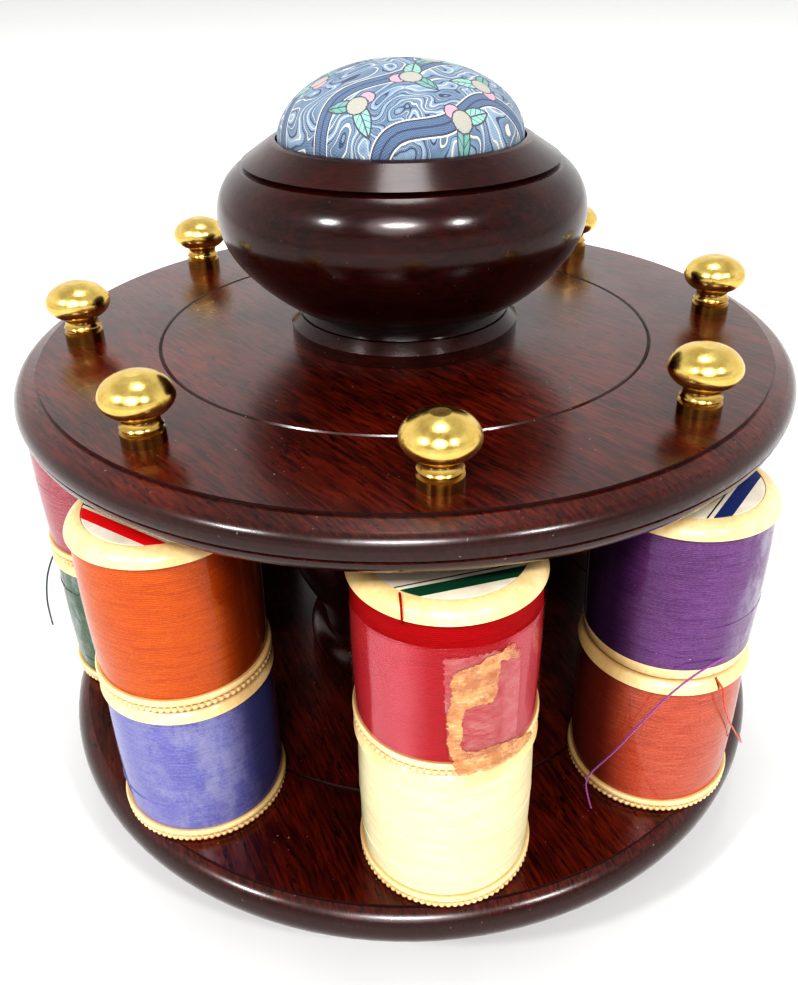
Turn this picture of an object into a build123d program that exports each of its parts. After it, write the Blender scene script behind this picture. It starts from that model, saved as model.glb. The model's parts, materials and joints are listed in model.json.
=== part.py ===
from build123d import *

import math
import os

# Revolving table-top stand for cotton reels, with a pincushion bowl on top.
# Two turned wooden discs joined by a turned pillar spin on a low plinth. Eight brass
# knobs on steel pins drop through the top disc, and each pin carries two cotton reels.
# Millimetres, +Z up. The origin is on the surface, under the centre of the plinth.
# Reel station 1 is on -Y and the stations count anticlockwise seen from above.

# Heights of the stack, from the surface up
FELT_THICKNESS = 1.0
PLINTH_HEIGHT = 8.4
WASHER_THICKNESS = 1.0
PIVOT_GAP = 0.1
LOWER_THICKNESS = 9.5
CLEAR_HEIGHT = 67.2
UPPER_THICKNESS = 8.0

# Radii of the turned wood
FELT_RADIUS = 55.0
PLINTH_RADIUS = 58.0
LOWER_RADIUS = 75.7
LOWER_LIP_RADIUS = 72.8
LOWER_GROOVE_RADIUS = 49.5
UPPER_RADIUS = 72.5
UPPER_FIELD_RADIUS = 68.0
UPPER_GROOVE_RADIUS = 46.4
GROOVE_WIDTH = 0.7
GROOVE_DEPTH = 0.45

# Joinery inside
TENON_RADIUS = 8.0
TENON_LENGTH = 3.9
PILLAR_FOOT_TENON_RADIUS = 10.0
BOLT_RADIUS = 3.0
BOLT_HEAD_RADIUS = 5.0
BOLT_HEAD_HEIGHT = 4.0
BOLT_REACH = 40.0
BOLT_CLEARANCE = 0.1
WASHER_RADIUS = 9.0
COUNTERBORE_RADIUS = 9.5
PLINTH_WEB = 2.2

# Reel stations
STATIONS = 8
PITCH_RADIUS = 60.9
PIN_RADIUS = 1.5
PIN_CLEARANCE = 0.1
PIN_SOCKET_DEPTH = 5.5
PIN_END_GAP = 0.5
PIN_IN_KNOB = 6.0
KNOB_HEIGHT = 11.1

# Wooden reels and their thread
REEL_HEIGHT = 31.4
REEL_RADIUS = 15.2
REEL_CORE_RADIUS = 6.0
REEL_BORE_RADIUS = 4.2
FLANGE_HEIGHT = 2.6
LABEL_RADIUS = 12.2
LABEL_RECESS = 0.15
STACK_GAP = 0.05
THREAD_END_RADIUS = 14.5
THREAD_MIDDLE_RADIUS = 14.8
THREAD_GAP = 0.05

# How far each stack of loose reels has drifted off its pin, in X and Y
REEL_DRIFT = {
    1: (1.2, 2.2),
    2: (0.0, 0.0),
    3: (-1.6, 0.4),
    4: (-0.9, -1.2),
    5: (0.3, -1.9),
    6: (1.5, -0.8),
    7: (0.0, 0.0),
    8: (0.1, 1.9),
}

# Bowl and pincushion, heights from the upper disc
BOWL_FOOT_RADIUS = 21.6
BOWL_BELLY_RADIUS = 33.3
BOWL_BELLY_HEIGHT = 23.0
BOWL_RIM_HEIGHT = 35.4
BOWL_MOUTH_RADIUS = 22.0
BOWL_FLOOR_HEIGHT = 20.0
CUSHION_GAP = 0.1
CUSHION_BASE_HEIGHT = 20.5
CUSHION_EDGE_HEIGHT = 35.1
CUSHION_RISE = 12.5

# Loose thread ends
TAIL_DIAMETER = 0.35

# Levels worked out from the sizes above
PLINTH_TOP = FELT_THICKNESS + PLINTH_HEIGHT
LOWER_UNDERSIDE = PLINTH_TOP + WASHER_THICKNESS + PIVOT_GAP
LOWER_FIELD = LOWER_UNDERSIDE + LOWER_THICKNESS
UPPER_UNDERSIDE = LOWER_FIELD + CLEAR_HEIGHT
UPPER_FIELD = UPPER_UNDERSIDE + UPPER_THICKNESS
REEL_BASE = {
    "lower": LOWER_FIELD + STACK_GAP,
    "upper": LOWER_FIELD + 2 * STACK_GAP + REEL_HEIGHT,
}

os.makedirs("parts", exist_ok=True)


def save(shape, node):
    """Write one piece to its own file."""
    export_step(shape, f"parts/{node}.step")


def turned(start, *moves):
    """Solid turned about Z from a closed outline of (radius, height) points.

    A move is the next corner, or a list of points for an arc through one point to the
    corner, or for a smooth curve through several.
    """
    edges = []
    here = start
    for move in moves:
        if isinstance(move, tuple):
            edges.append(Line(here, move))
            here = move
        elif len(move) == 2:
            edges.append(ThreePointArc(here, move[0], move[1]))
            here = move[-1]
        else:
            edges.append(Spline(here, *move))
            here = move[-1]
    edges.append(Line(here, start))
    outline = Plane.XZ * make_face(edges)
    return revolve(outline, axis=Axis.Z)


def drum(radius, bottom, top):
    """Plain cylinder between two heights."""
    return turned((0, bottom), (radius, bottom), (radius, top), (0, top))


def ring(inner, outer, bottom, top):
    """Plain ring between two heights."""
    return turned((inner, bottom), (outer, bottom), (outer, top), (inner, top))


def vee_groove(radius, surface):
    """Cutter for a narrow V groove turned into a flat top surface."""
    half = GROOVE_WIDTH / 2
    proud = 0.5
    return turned(
        (radius - half, surface),
        (radius, surface - GROOVE_DEPTH),
        (radius + half, surface),
        (radius + half, surface + proud),
        (radius - half, surface + proud),
    )


def station_centre(station):
    """Pin axis of a station, in X and Y."""
    angle = math.radians((station - 1) * 360 / STATIONS)
    return PITCH_RADIUS * math.sin(angle), -PITCH_RADIUS * math.cos(angle)


def reel_axis(station):
    """Axis of the reels on a station, which have drifted a little off their pin."""
    x, y = station_centre(station)
    drift_x, drift_y = REEL_DRIFT[station]
    return x + drift_x, y + drift_y


def at_stations(shape):
    """One copy of a shape on every pin axis."""
    return [Pos(*station_centre(station)) * shape for station in range(1, STATIONS + 1)]


def cut(body, *cutters):
    """Body with every cutter taken away."""
    for cutter in cutters:
        body = body - cutter
    return body


# --- Base: felt, plinth, washers and the pivot bolt ---


def base_felt():
    """Felt pad that the stand rests on."""
    return drum(FELT_RADIUS, 0, FELT_THICKNESS)


def base_plinth():
    """Low turned plinth, counterbored from below for the bolt head and its washer."""
    foot = FELT_THICKNESS
    hole = BOLT_RADIUS + BOLT_CLEARANCE
    web_underside = PLINTH_TOP - PLINTH_WEB
    bead_middle = (foot + PLINTH_TOP) / 2
    bead_inset = 1.2
    return turned(
        (COUNTERBORE_RADIUS, foot),
        (PLINTH_RADIUS - bead_inset, foot),
        [(PLINTH_RADIUS, bead_middle), (PLINTH_RADIUS - bead_inset, PLINTH_TOP)],
        (hole, PLINTH_TOP),
        (hole, web_underside),
        (COUNTERBORE_RADIUS, web_underside),
    )


def pivot_washers():
    """Two equal washers, one under the lower disc and one over the bolt head."""
    hole = BOLT_RADIUS + BOLT_CLEARANCE
    web_underside = PLINTH_TOP - PLINTH_WEB
    thrust = ring(hole, WASHER_RADIUS, PLINTH_TOP, PLINTH_TOP + WASHER_THICKNESS)
    head = ring(hole, WASHER_RADIUS, web_underside - WASHER_THICKNESS, web_underside)
    return Compound(children=[thrust, head])


def pivot_bolt():
    """Steel bolt up through the plinth into the pillar, with a hexagon head below."""
    head_top = PLINTH_TOP - PLINTH_WEB - WASHER_THICKNESS - PIVOT_GAP
    head_bottom = head_top - BOLT_HEAD_HEIGHT
    outline = Plane.XY.offset(head_bottom) * RegularPolygon(BOLT_HEAD_RADIUS, 6)
    head = extrude(outline, amount=BOLT_HEAD_HEIGHT)
    shank = drum(BOLT_RADIUS, head_top, head_bottom + BOLT_REACH)
    return head + shank


# --- Carousel: two discs, pillar, bowl and pincushion ---


def bottom_disc():
    """Lower disc with a sunk bead edge, an inner ring groove and eight pin sockets."""
    bead_height = 4.6
    bead_radius = 3.9
    bead_rise = 3.77
    bead_centre_z = LOWER_FIELD - bead_height
    disc = turned(
        (PILLAR_FOOT_TENON_RADIUS, LOWER_UNDERSIDE),
        (LOWER_LIP_RADIUS - 1.0, LOWER_UNDERSIDE),
        (LOWER_LIP_RADIUS, bead_centre_z - bead_rise),
        [(LOWER_RADIUS, bead_centre_z), (LOWER_LIP_RADIUS, bead_centre_z + bead_rise)],
        (LOWER_LIP_RADIUS, LOWER_FIELD),
        (PILLAR_FOOT_TENON_RADIUS, LOWER_FIELD),
    )
    socket_floor = LOWER_FIELD - PIN_SOCKET_DEPTH
    socket = drum(PIN_RADIUS + PIN_CLEARANCE, socket_floor, LOWER_FIELD + bead_radius)
    return cut(disc, vee_groove(LOWER_GROOVE_RADIUS, LOWER_FIELD), *at_stations(socket))


def column():
    """Urn-shaped pillar with a tenon at each end, drilled for the pivot bolt."""
    bolt_top = PLINTH_TOP - PLINTH_WEB - WASHER_THICKNESS - PIVOT_GAP - BOLT_HEAD_HEIGHT + BOLT_REACH
    foot = LOWER_FIELD
    top = UPPER_UNDERSIDE
    return turned(
        (BOLT_RADIUS, LOWER_UNDERSIDE),
        (PILLAR_FOOT_TENON_RADIUS, LOWER_UNDERSIDE),
        (PILLAR_FOOT_TENON_RADIUS, foot),
        (20.5, foot),
        [(22.8, foot + 3.6), (20.3, foot + 7.1)],
        (19.3, foot + 7.4),
        (19.3, foot + 8.2),
        [(20.6, foot + 13.0), (24.6, foot + 21.5), (27.0, foot + 32.0), (24.4, foot + 43.0), (17.4, foot + 52.5)],
        (17.0, foot + 54.0),
        (18.6, foot + 54.6),
        [(19.4, foot + 56.0), (18.6, foot + 57.4)],
        (17.8, foot + 58.0),
        [(19.0, foot + 61.6), (22.4, top - 1.6)],
        (22.4, top),
        (TENON_RADIUS, top),
        (TENON_RADIUS, top + TENON_LENGTH),
        (0, top + TENON_LENGTH),
        (0, bolt_top),
        (BOLT_RADIUS, bolt_top),
    )


def top_disc():
    """Upper disc with a bullnose edge, an inner ring groove and eight pin holes."""
    quirk_z = UPPER_FIELD - 5.1
    step_z = UPPER_FIELD - 0.65
    disc = turned(
        (TENON_RADIUS, UPPER_UNDERSIDE),
        (UPPER_RADIUS - 2.6, UPPER_UNDERSIDE),
        [(UPPER_RADIUS - 0.9, quirk_z - 1.75), (UPPER_RADIUS - 0.35, quirk_z - 0.25)],
        (UPPER_RADIUS - 0.75, quirk_z),
        (UPPER_RADIUS - 0.15, quirk_z + 0.3),
        [(UPPER_RADIUS - 0.3, quirk_z + 2.2), (UPPER_RADIUS - 1.9, quirk_z + 3.8)],
        (UPPER_FIELD_RADIUS + 0.4, step_z),
        (UPPER_FIELD_RADIUS, step_z),
        (UPPER_FIELD_RADIUS, UPPER_FIELD),
        (TENON_RADIUS, UPPER_FIELD),
    )
    hole = drum(PIN_RADIUS + PIN_CLEARANCE, UPPER_UNDERSIDE - 1, UPPER_FIELD + 1)
    return cut(disc, vee_groove(UPPER_GROOVE_RADIUS, UPPER_FIELD), *at_stations(hole))


def bowl():
    """Squat turned bowl with a stepped foot and a coned rim, hollow for the pincushion."""
    base = UPPER_FIELD
    return turned(
        (0, base - TENON_LENGTH),
        (TENON_RADIUS, base - TENON_LENGTH),
        (TENON_RADIUS, base),
        (BOWL_FOOT_RADIUS, base),
        (BOWL_FOOT_RADIUS, base + 2.4),
        (BOWL_FOOT_RADIUS - 1.6, base + 4.3),
        (BOWL_FOOT_RADIUS - 2.0, base + 4.4),
        (18.8, base + 5.7),
        [
            (23.2, base + 8.3),
            (27.6, base + 12.0),
            (32.0, base + 17.8),
            (BOWL_BELLY_RADIUS, base + BOWL_BELLY_HEIGHT),
            (31.9, base + 28.0),
            (28.9, base + 31.1),
        ],
        (27.7, base + 31.3),
        (28.2, base + 31.9),
        (23.3, base + 35.1),
        [(22.7, base + 35.32), (BOWL_MOUTH_RADIUS, base + BOWL_RIM_HEIGHT)],
        (BOWL_MOUTH_RADIUS, base + BOWL_FLOOR_HEIGHT),
        (0, base + BOWL_FLOOR_HEIGHT),
    )


def pincushion():
    """Stuffed fabric dome filling the bowl."""
    radius = BOWL_MOUTH_RADIUS - CUSHION_GAP
    edge = UPPER_FIELD + CUSHION_EDGE_HEIGHT
    crown = edge + CUSHION_RISE
    steps = 6
    quarter = math.pi / 2
    dome = []
    for step in range(1, steps + 1):
        turn = quarter * step / steps
        dome.append((radius * math.cos(turn), edge + CUSHION_RISE * math.sin(turn)))
    dome[-1] = (0, crown)
    base = UPPER_FIELD + CUSHION_BASE_HEIGHT
    return turned((0, base), (radius - 1.5, base), (radius, base + 1.5), (radius, edge), dome)


# --- Pins: a brass knob on a steel rod ---


def knob():
    """Turned brass mushroom knob, drilled from below for its pin, base at height 0."""
    return turned(
        (PIN_RADIUS, 0),
        (3.5, 0),
        (3.5, 1.8),
        (3.05, 2.05),
        (3.05, 2.4),
        (3.4, 2.75),
        [(2.95, 3.8), (3.45, 4.8)],
        [(4.85, 5.6), (5.8, 7.4), (4.9, 9.4), (3.1, 10.6), (1.5, KNOB_HEIGHT)],
        (0, KNOB_HEIGHT),
        (0, PIN_IN_KNOB),
        (PIN_RADIUS, PIN_IN_KNOB),
    )


def rod():
    """Plain steel pin from the lower disc's socket up into its knob."""
    socket_floor = LOWER_FIELD - PIN_SOCKET_DEPTH
    return drum(PIN_RADIUS, socket_floor + PIN_END_GAP, UPPER_FIELD + PIN_IN_KNOB)


# --- Cotton reels: wooden spool and wound thread, base at height 0 ---


def spool_top(flange):
    """Outline moves of the rounded top flange with its shallow label recess."""
    return [
        (REEL_RADIUS - 0.5, flange),
        (REEL_RADIUS, flange + 0.25),
        [(REEL_RADIUS - 0.75, flange + 1.55), (LABEL_RADIUS, REEL_HEIGHT)],
        (LABEL_RADIUS, REEL_HEIGHT - LABEL_RECESS),
        (REEL_BORE_RADIUS, REEL_HEIGHT - LABEL_RECESS),
    ]


def spool():
    """Wooden spool whose lower flange has a grooved band above its milled edge."""
    flange = REEL_HEIGHT - FLANGE_HEIGHT
    return turned(
        (REEL_BORE_RADIUS, 0),
        (REEL_RADIUS - 0.7, 0),
        (REEL_RADIUS - 0.35, 0.4),
        (REEL_RADIUS - 0.35, 0.95),
        (REEL_RADIUS - 0.55, 1.15),
        [(REEL_RADIUS, 1.8), (REEL_RADIUS - 0.25, FLANGE_HEIGHT)],
        (REEL_CORE_RADIUS, FLANGE_HEIGHT),
        (REEL_CORE_RADIUS, flange),
        *spool_top(flange),
    )


def smooth_spool():
    """Spool of a second make, whose lower flange is plain and slightly tapered."""
    flange = REEL_HEIGHT - FLANGE_HEIGHT
    return turned(
        (REEL_BORE_RADIUS, 0),
        (REEL_RADIUS - 1.4, 0),
        [(REEL_RADIUS - 0.8, 0.9), (REEL_RADIUS - 0.6, FLANGE_HEIGHT - 0.4)],
        (REEL_RADIUS - 0.7, FLANGE_HEIGHT),
        (REEL_CORE_RADIUS, FLANGE_HEIGHT),
        (REEL_CORE_RADIUS, flange),
        *spool_top(flange),
    )


def winding():
    """Thread wound between the flanges, very slightly barrelled."""
    bottom = FLANGE_HEIGHT + THREAD_GAP
    top = REEL_HEIGHT - FLANGE_HEIGHT - THREAD_GAP
    middle = (bottom + top) / 2
    return turned(
        (REEL_CORE_RADIUS, bottom),
        (THREAD_END_RADIUS, bottom),
        [(THREAD_MIDDLE_RADIUS, middle), (THREAD_END_RADIUS, top)],
        (REEL_CORE_RADIUS, top),
    )


def rim_notch(direction):
    """Cutter for the slit in a reel's top rim that holds the thread's end."""
    width = 0.5
    reach = 2.0
    start = REEL_RADIUS - 1.3
    height = FLANGE_HEIGHT + 2.0
    slit = Box(reach, width, height, align=(Align.MIN, Align.CENTER, Align.MIN))
    placed = Pos(start, 0, REEL_HEIGHT - FLANGE_HEIGHT - 1.0) * slit
    return Rot(0, 0, direction) * placed


# --- Loose thread ends: points measured from the reel's pin axis, at their real height ---

PURPLE_TAIL = [
    (8.1, -11.8, 55.5),
    (3.5, -14.7, 55.8),
    (-0.8, -16.2, 54.5),
    (-4.2, -16.6, 51.4),
    (-6.5, -16.4, 47.8),
    (-9.0, -15.5, 42.4),
    (-11.7, -13.9, 35.2),
    (-14.5, -12.0, 28.9),
    (-15.4, -11.8, 26.0),
    (-14.9, -12.5, 22.9),
    (-14.2, -13.3, 20.5),
]
ORANGE_TAIL = [
    (4.8, -13.2, 50.6),
    (5.5, -15.1, 50.4),
    (5.9, -15.4, 46.9),
    (8.2, -13.7, 41.4),
    (12.6, -10.2, 33.4),
    (17.5, -4.9, 24.6),
    (19.0, 0.2, 22.2),
]
GREEN_TAIL = [
    (-13.7, 4.2, 47.6),
    (-15.2, -0.6, 48.1),
    (-16.5, -4.6, 45.0),
    (-18.2, -3.4, 39.3),
    (-20.0, -0.5, 32.4),
    (-21.6, 3.7, 24.4),
]


def tail(node, route, station):
    """Loose thread end: straight runs joined by arcs as large as the runs allow."""
    x, y = station_centre(station)
    points = [Vector(x + east, y + north, height) for east, north, height in route]
    radii = []
    for before, corner, after in zip(points, points[1:], points[2:]):
        run_in = corner - before
        run_out = after - corner
        half_turn = math.radians(run_in.get_angle(run_out)) / 2
        radii.append(0.45 * min(run_in.length, run_out.length) / math.tan(half_turn))
    path = FilletPolyline(*points, radius=radii)
    section = Plane(path @ 0, z_dir=path % 0) * Circle(TAIL_DIAMETER / 2)
    tube = sweep(section, path=path)
    ideal = math.pi * (TAIL_DIAMETER / 2) ** 2 * path.length
    rounded = [round(radius, 1) for radius in radii]
    print(node, "length", round(path.length, 1), "volume ratio", round(tube.volume / ideal, 3), "radii", rounded)
    return tube


# --- Write every piece ---

save(base_felt(), "base_felt")
save(base_plinth(), "base_plinth")
save(pivot_washers(), "pivot_washers")
save(pivot_bolt(), "pivot_bolt")
save(bottom_disc(), "bottom_disc")
save(column(), "column")
save(top_disc(), "top_disc")
save(bowl(), "bowl")
save(pincushion(), "pincushion")

for station in range(1, STATIONS + 1):
    pin_place = Pos(*station_centre(station))
    save(pin_place * Pos(0, 0, UPPER_FIELD) * knob(), f"knob_{station}")
    save(pin_place * rod(), f"rod_{station}")
    for level, height in REEL_BASE.items():
        wood = spool()
        if (station, level) == (2, "upper"):
            wood = smooth_spool()
        if (station, level) == (2, "lower"):
            notch_direction = math.degrees(math.atan2(ORANGE_TAIL[0][1], ORANGE_TAIL[0][0]))
            wood = cut(wood, rim_notch(notch_direction))
        reel_place = Pos(*reel_axis(station), height)
        save(reel_place * wood, f"spool_{station}_{level}")
        save(reel_place * winding(), f"thread_{station}_{level}")

TAILS = {
    "thread_tail_2_upper": (PURPLE_TAIL, 2),
    "thread_tail_2_lower": (ORANGE_TAIL, 2),
    "thread_tail_7_lower": (GREEN_TAIL, 7),
}
for node, (route, station) in TAILS.items():
    save(tail(node, route, station), node)
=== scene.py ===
import json
import math
import random

import bmesh
import bpy
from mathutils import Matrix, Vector


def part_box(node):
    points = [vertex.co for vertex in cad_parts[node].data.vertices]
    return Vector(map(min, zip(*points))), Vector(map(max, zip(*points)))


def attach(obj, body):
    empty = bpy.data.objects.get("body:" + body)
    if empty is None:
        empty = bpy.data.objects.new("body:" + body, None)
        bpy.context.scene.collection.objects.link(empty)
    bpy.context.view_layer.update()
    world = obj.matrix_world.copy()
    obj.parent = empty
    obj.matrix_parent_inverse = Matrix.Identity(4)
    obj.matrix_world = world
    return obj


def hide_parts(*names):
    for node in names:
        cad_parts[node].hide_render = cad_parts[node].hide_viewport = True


# Looks for a revolving cotton-reel stand with a pincushion bowl.
# Every length is in metres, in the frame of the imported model.

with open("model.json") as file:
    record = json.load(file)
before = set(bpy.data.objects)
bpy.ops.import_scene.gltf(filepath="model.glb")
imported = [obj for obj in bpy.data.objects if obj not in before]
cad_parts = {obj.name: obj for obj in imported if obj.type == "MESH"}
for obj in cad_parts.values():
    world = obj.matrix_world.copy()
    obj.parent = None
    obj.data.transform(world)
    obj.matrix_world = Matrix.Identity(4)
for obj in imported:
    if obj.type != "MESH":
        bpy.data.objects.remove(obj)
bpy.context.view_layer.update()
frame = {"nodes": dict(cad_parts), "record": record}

MM = 0.001
THREAD_PITCH = 0.00034
WEAVE_PITCH = 0.42
LABEL_WIDTH = 24.2
# Painted shade on the reels' sides towards the pillar: full within the first radius from the pillar's axis,
# none beyond the second.
INNER_SHADE_WITHIN, INNER_SHADE_BEYOND = 0.0588, 0.0668
THREAD_DULLING = 0.10
STATIONS = range(1, 9)
REELS = [(station, level) for station in STATIONS for level in ("lower", "upper")]
NODES = frame["nodes"]


# --- Camera, at the photograph's viewing angle ---

camera_data = bpy.data.cameras.new("camera")
camera_data.lens = 33.667
camera_data.sensor_width = 36
camera_data.shift_x = -0.010684
camera_data.shift_y = -0.01509
camera_data.clip_start = 0.005
camera = bpy.data.objects.new("camera", camera_data)
camera.location = (-0.012722, -0.169360, 0.160495)
camera.rotation_euler = [math.radians(a) for a in (59.5216, 0.8251, -4.9497)]
bpy.context.scene.collection.objects.link(camera)
bpy.context.scene.camera = camera


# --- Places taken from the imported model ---


def centre_of(node):
    """Middle of a node's box."""
    low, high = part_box(node)
    return (low + high) / 2


REEL_SEATS = {}
for station, level in REELS:
    low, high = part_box(f"spool_{station}_{level}")
    REEL_SEATS[station, level] = Vector(((low.x + high.x) / 2, (low.y + high.y) / 2, low.z))


def reel_seat(station, level):
    """Point on a reel's axis at the underside of its lower flange."""
    return REEL_SEATS[station, level]


# --- Building materials from nodes ---


class Shader:
    """A material under construction, one Principled surface at its end."""

    def __init__(self, name):
        self.material = bpy.data.materials.new(name)
        self.material.use_nodes = True
        self.tree = self.material.node_tree
        self.tree.nodes.clear()
        self.place = self.node("TexCoord").node
        self.point = self.place.outputs["Object"]

    def put(self, socket, value):
        """Give a socket a number, a colour or a link."""
        if isinstance(value, bpy.types.NodeSocket):
            self.tree.links.new(value, socket)
        elif value is not None:
            socket.default_value = value

    def node(self, kind, *values, out=0, **settings):
        """Add a node, fill its inputs in order and return one of its outputs."""
        made = self.tree.nodes.new("ShaderNode" + kind)
        for key, value in settings.items():
            setattr(made, key, value)
        for socket, value in zip(made.inputs, values):
            self.put(socket, value)
        return made.outputs[out]

    def math(self, operation, *values):
        """One step of arithmetic."""
        return self.node("Math", *values, operation=operation)

    def stretched(self, scale, turn=(0, 0, 0), point=None):
        """Object coordinates turned about the origin and then scaled per axis."""
        turned = self.node("VectorRotate", point or self.point, rotation_type="EULER_XYZ")
        turned.node.inputs["Rotation"].default_value = turn
        return self.node("VectorMath", turned, scale, operation="MULTIPLY")

    def noise(self, point, scale=1.0, detail=2.0, rough=0.5, warp=0.0):
        """Fractal noise, about 0.5 on average."""
        made = self.tree.nodes.new("ShaderNodeTexNoise")
        self.put(made.inputs["Vector"], point)
        self.put(made.inputs["Scale"], scale)
        self.put(made.inputs["Detail"], detail)
        self.put(made.inputs["Roughness"], rough)
        self.put(made.inputs["Distortion"], warp)
        return made.outputs["Fac"]

    def spread(self, value, low, high, new_low=0.0, new_high=1.0, smooth=False):
        """Number mapped from one range to another and held inside it."""
        made = self.tree.nodes.new("ShaderNodeMapRange")
        made.interpolation_type = "SMOOTHSTEP" if smooth else "LINEAR"
        for socket, number in zip(made.inputs, (value, low, high, new_low, new_high)):
            self.put(socket, number)
        return made.outputs[0]

    def mix(self, amount, first, second):
        """Colour between two others."""
        made = self.tree.nodes.new("ShaderNodeMix")
        made.data_type = "RGBA"
        self.put(made.inputs[0], amount)
        self.put(made.inputs[6], first if isinstance(first, bpy.types.NodeSocket) else (*first, 1))
        self.put(made.inputs[7], second if isinstance(second, bpy.types.NodeSocket) else (*second, 1))
        return made.outputs[2]

    def axes(self, vector):
        """X, Y and Z of a vector."""
        made = self.node("SeparateXYZ", vector).node
        return made.outputs

    def vector(self, *values):
        """Vector from three numbers."""
        return self.node("CombineXYZ", *values)

    def bump(self, height, distance, strength):
        """Normal of a surface raised by height times distance."""
        made = self.tree.nodes.new("ShaderNodeBump")
        made.inputs["Strength"].default_value = strength
        made.inputs["Distance"].default_value = distance
        self.put(made.inputs["Height"], height)
        return made.outputs[0]

    def surface(self, **sockets):
        """Finish with a Principled surface, its sockets given by name."""
        made = self.tree.nodes.new("ShaderNodeBsdfPrincipled")
        for key, value in sockets.items():
            name = key.replace("_", " ")
            found = next(s for s in made.inputs if s.name.lower() == name)
            if isinstance(value, tuple) and len(value) == 3 and found.type == "RGBA":
                value = (*value, 1)
            self.put(found, value)
        end = self.tree.nodes.new("ShaderNodeOutputMaterial")
        self.tree.links.new(made.outputs[0], end.inputs[0])
        return self.material

    def from_middle(self):
        """Place inside the object's own box, X and Y from its middle and Z from its foot."""
        return self.node("VectorMath", self.place.outputs["Generated"], (0.5, 0.5, 0.0), operation="SUBTRACT")

    def flat_length(self, point, scale):
        """Length in the XY plane, times a scale."""
        flat = self.node("VectorMath", point, (scale, scale, 0), operation="MULTIPLY")
        return self.node("VectorMath", flat, operation="LENGTH", out=1)

    def masked(self, *masks):
        """Product of several masks."""
        total = masks[0]
        for mask in masks[1:]:
            total = self.math("MULTIPLY", total, mask)
        return total

    def beyond(self, x, y, angle, offset):
        """1 on one side of a straight line, whose normal has that angle in degrees."""
        turn = math.radians(angle)
        along_x = self.math("MULTIPLY", x, math.cos(turn))
        along_y = self.math("MULTIPLY", y, math.sin(turn))
        return self.math("GREATER_THAN", self.math("ADD", along_x, along_y), offset)

    def distance(self, point, x, y):
        """Distance from a place in the XY plane."""
        return self.node("VectorMath", point, (x, y, 0), operation="DISTANCE", out=1)

    def along_across(self, point, x, y, angle):
        """Coordinates along and across a direction, measured from a place."""
        moved = self.node("VectorMath", point, (x, y, 0), operation="SUBTRACT")
        turned = self.node("VectorRotate", moved, rotation_type="Z_AXIS")
        turned.node.inputs["Angle"].default_value = -math.radians(angle)
        u, v, _ = self.axes(turned)
        return u, v


def mahogany(name, turn, gloss=0.22, depth=1.0, figured=1.0, edge=0.0, varnish=1.0):
    """Varnished red-brown wood whose grain runs along X once turned by the given angles."""
    s = Shader(name)
    along = s.stretched((1, 1, 1), turn)
    sway = s.noise(s.node("VectorMath", along, (18, 60, 60), operation="MULTIPLY"), 1, 2)
    drift = s.vector(0, s.math("MULTIPLY", s.math("SUBTRACT", sway, 0.5), 0.006), 0)
    grain = s.node("VectorMath", along, drift, operation="ADD")

    def streaks(length, width, detail=2.0):
        scaled = s.node("VectorMath", grain, (1 / length, 1 / width, 1 / width), operation="MULTIPLY")
        return s.noise(scaled, 1, detail, 0.55)

    figure = s.spread(streaks(0.045, 0.0060, 3), 0.34, 0.66)
    fibre = s.spread(streaks(0.0060, 0.0006, 3), 0.34, 0.68)
    pores = s.spread(streaks(0.0024, 0.00045, 1), 0.56, 0.66)
    fleck = s.spread(streaks(0.0090, 0.0022, 3), 0.40, 0.60)
    dark = tuple(depth * c for c in (0.012, 0.0008, 0.0006))
    middle = tuple(depth * c for c in (0.058, 0.0034, 0.0014))
    light = tuple(depth * c for c in (0.185, 0.0230, 0.0060))
    cloud = s.spread(s.noise(s.point, 34, 3, 0.6), 0.36, 0.64)
    tone = s.mix(s.math("MULTIPLY", figure, s.spread(cloud, 0, 1, 0.35, 1.0)), dark, middle)
    tone = s.mix(s.masked(fibre, s.spread(cloud, 0, 1, 0.5, 1.0), 0.6 * figured), tone, light)
    tone = s.mix(s.masked(pores, fleck, 0.9 * figured), tone, (0.004, 0.001, 0.001))
    # Painted shade: with edge set, faces that turn sideways, such as the rims of the discs, get a dark brown.
    if edge:
        _, _, upward = s.axes(s.node("NewGeometry", out=1))
        painted_side_shade = s.spread(s.math("ABSOLUTE", upward), 0.60, 0.97, edge, 0.0)
        tone = s.mix(painted_side_shade, tone, (0.017, 0.0035, 0.0026))
    dust = s.spread(s.noise(s.point, 1500, 0), 0.83, 0.88)
    tone = s.mix(s.math("MULTIPLY", dust, 0.4 * figured), tone, (0.34, 0.25, 0.20))
    skin = s.math("ADD", s.noise(s.point, 260, 2), s.math("MULTIPLY", s.noise(s.point, 1900, 1), 0.35))
    rough = s.spread(s.noise(s.point, 90, 3), 0.3, 0.7, 0.22, 0.38)
    normal = s.bump(s.math("SUBTRACT", fibre, s.math("MULTIPLY", pores, 2.0)), 0.00001, 0.35)
    return s.surface(
        base_color=tone,
        roughness=rough,
        normal=normal,
        specular_ior_level=0.1,
        coat_weight=varnish,
        coat_roughness=gloss,
        coat_ior=1.5,
        coat_normal=s.bump(skin, 0.00002, 0.5),
    )


def painted_inner_shade(s):
    """Painted shade: 0 on the side of a reel that looks out, 1 on the side towards the pillar, where the
    reels and discs shade it.
    """
    return s.spread(s.flat_length(s.point, 1), INNER_SHADE_WITHIN, INNER_SHADE_BEYOND, 1.0, 0.0, True)


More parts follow.
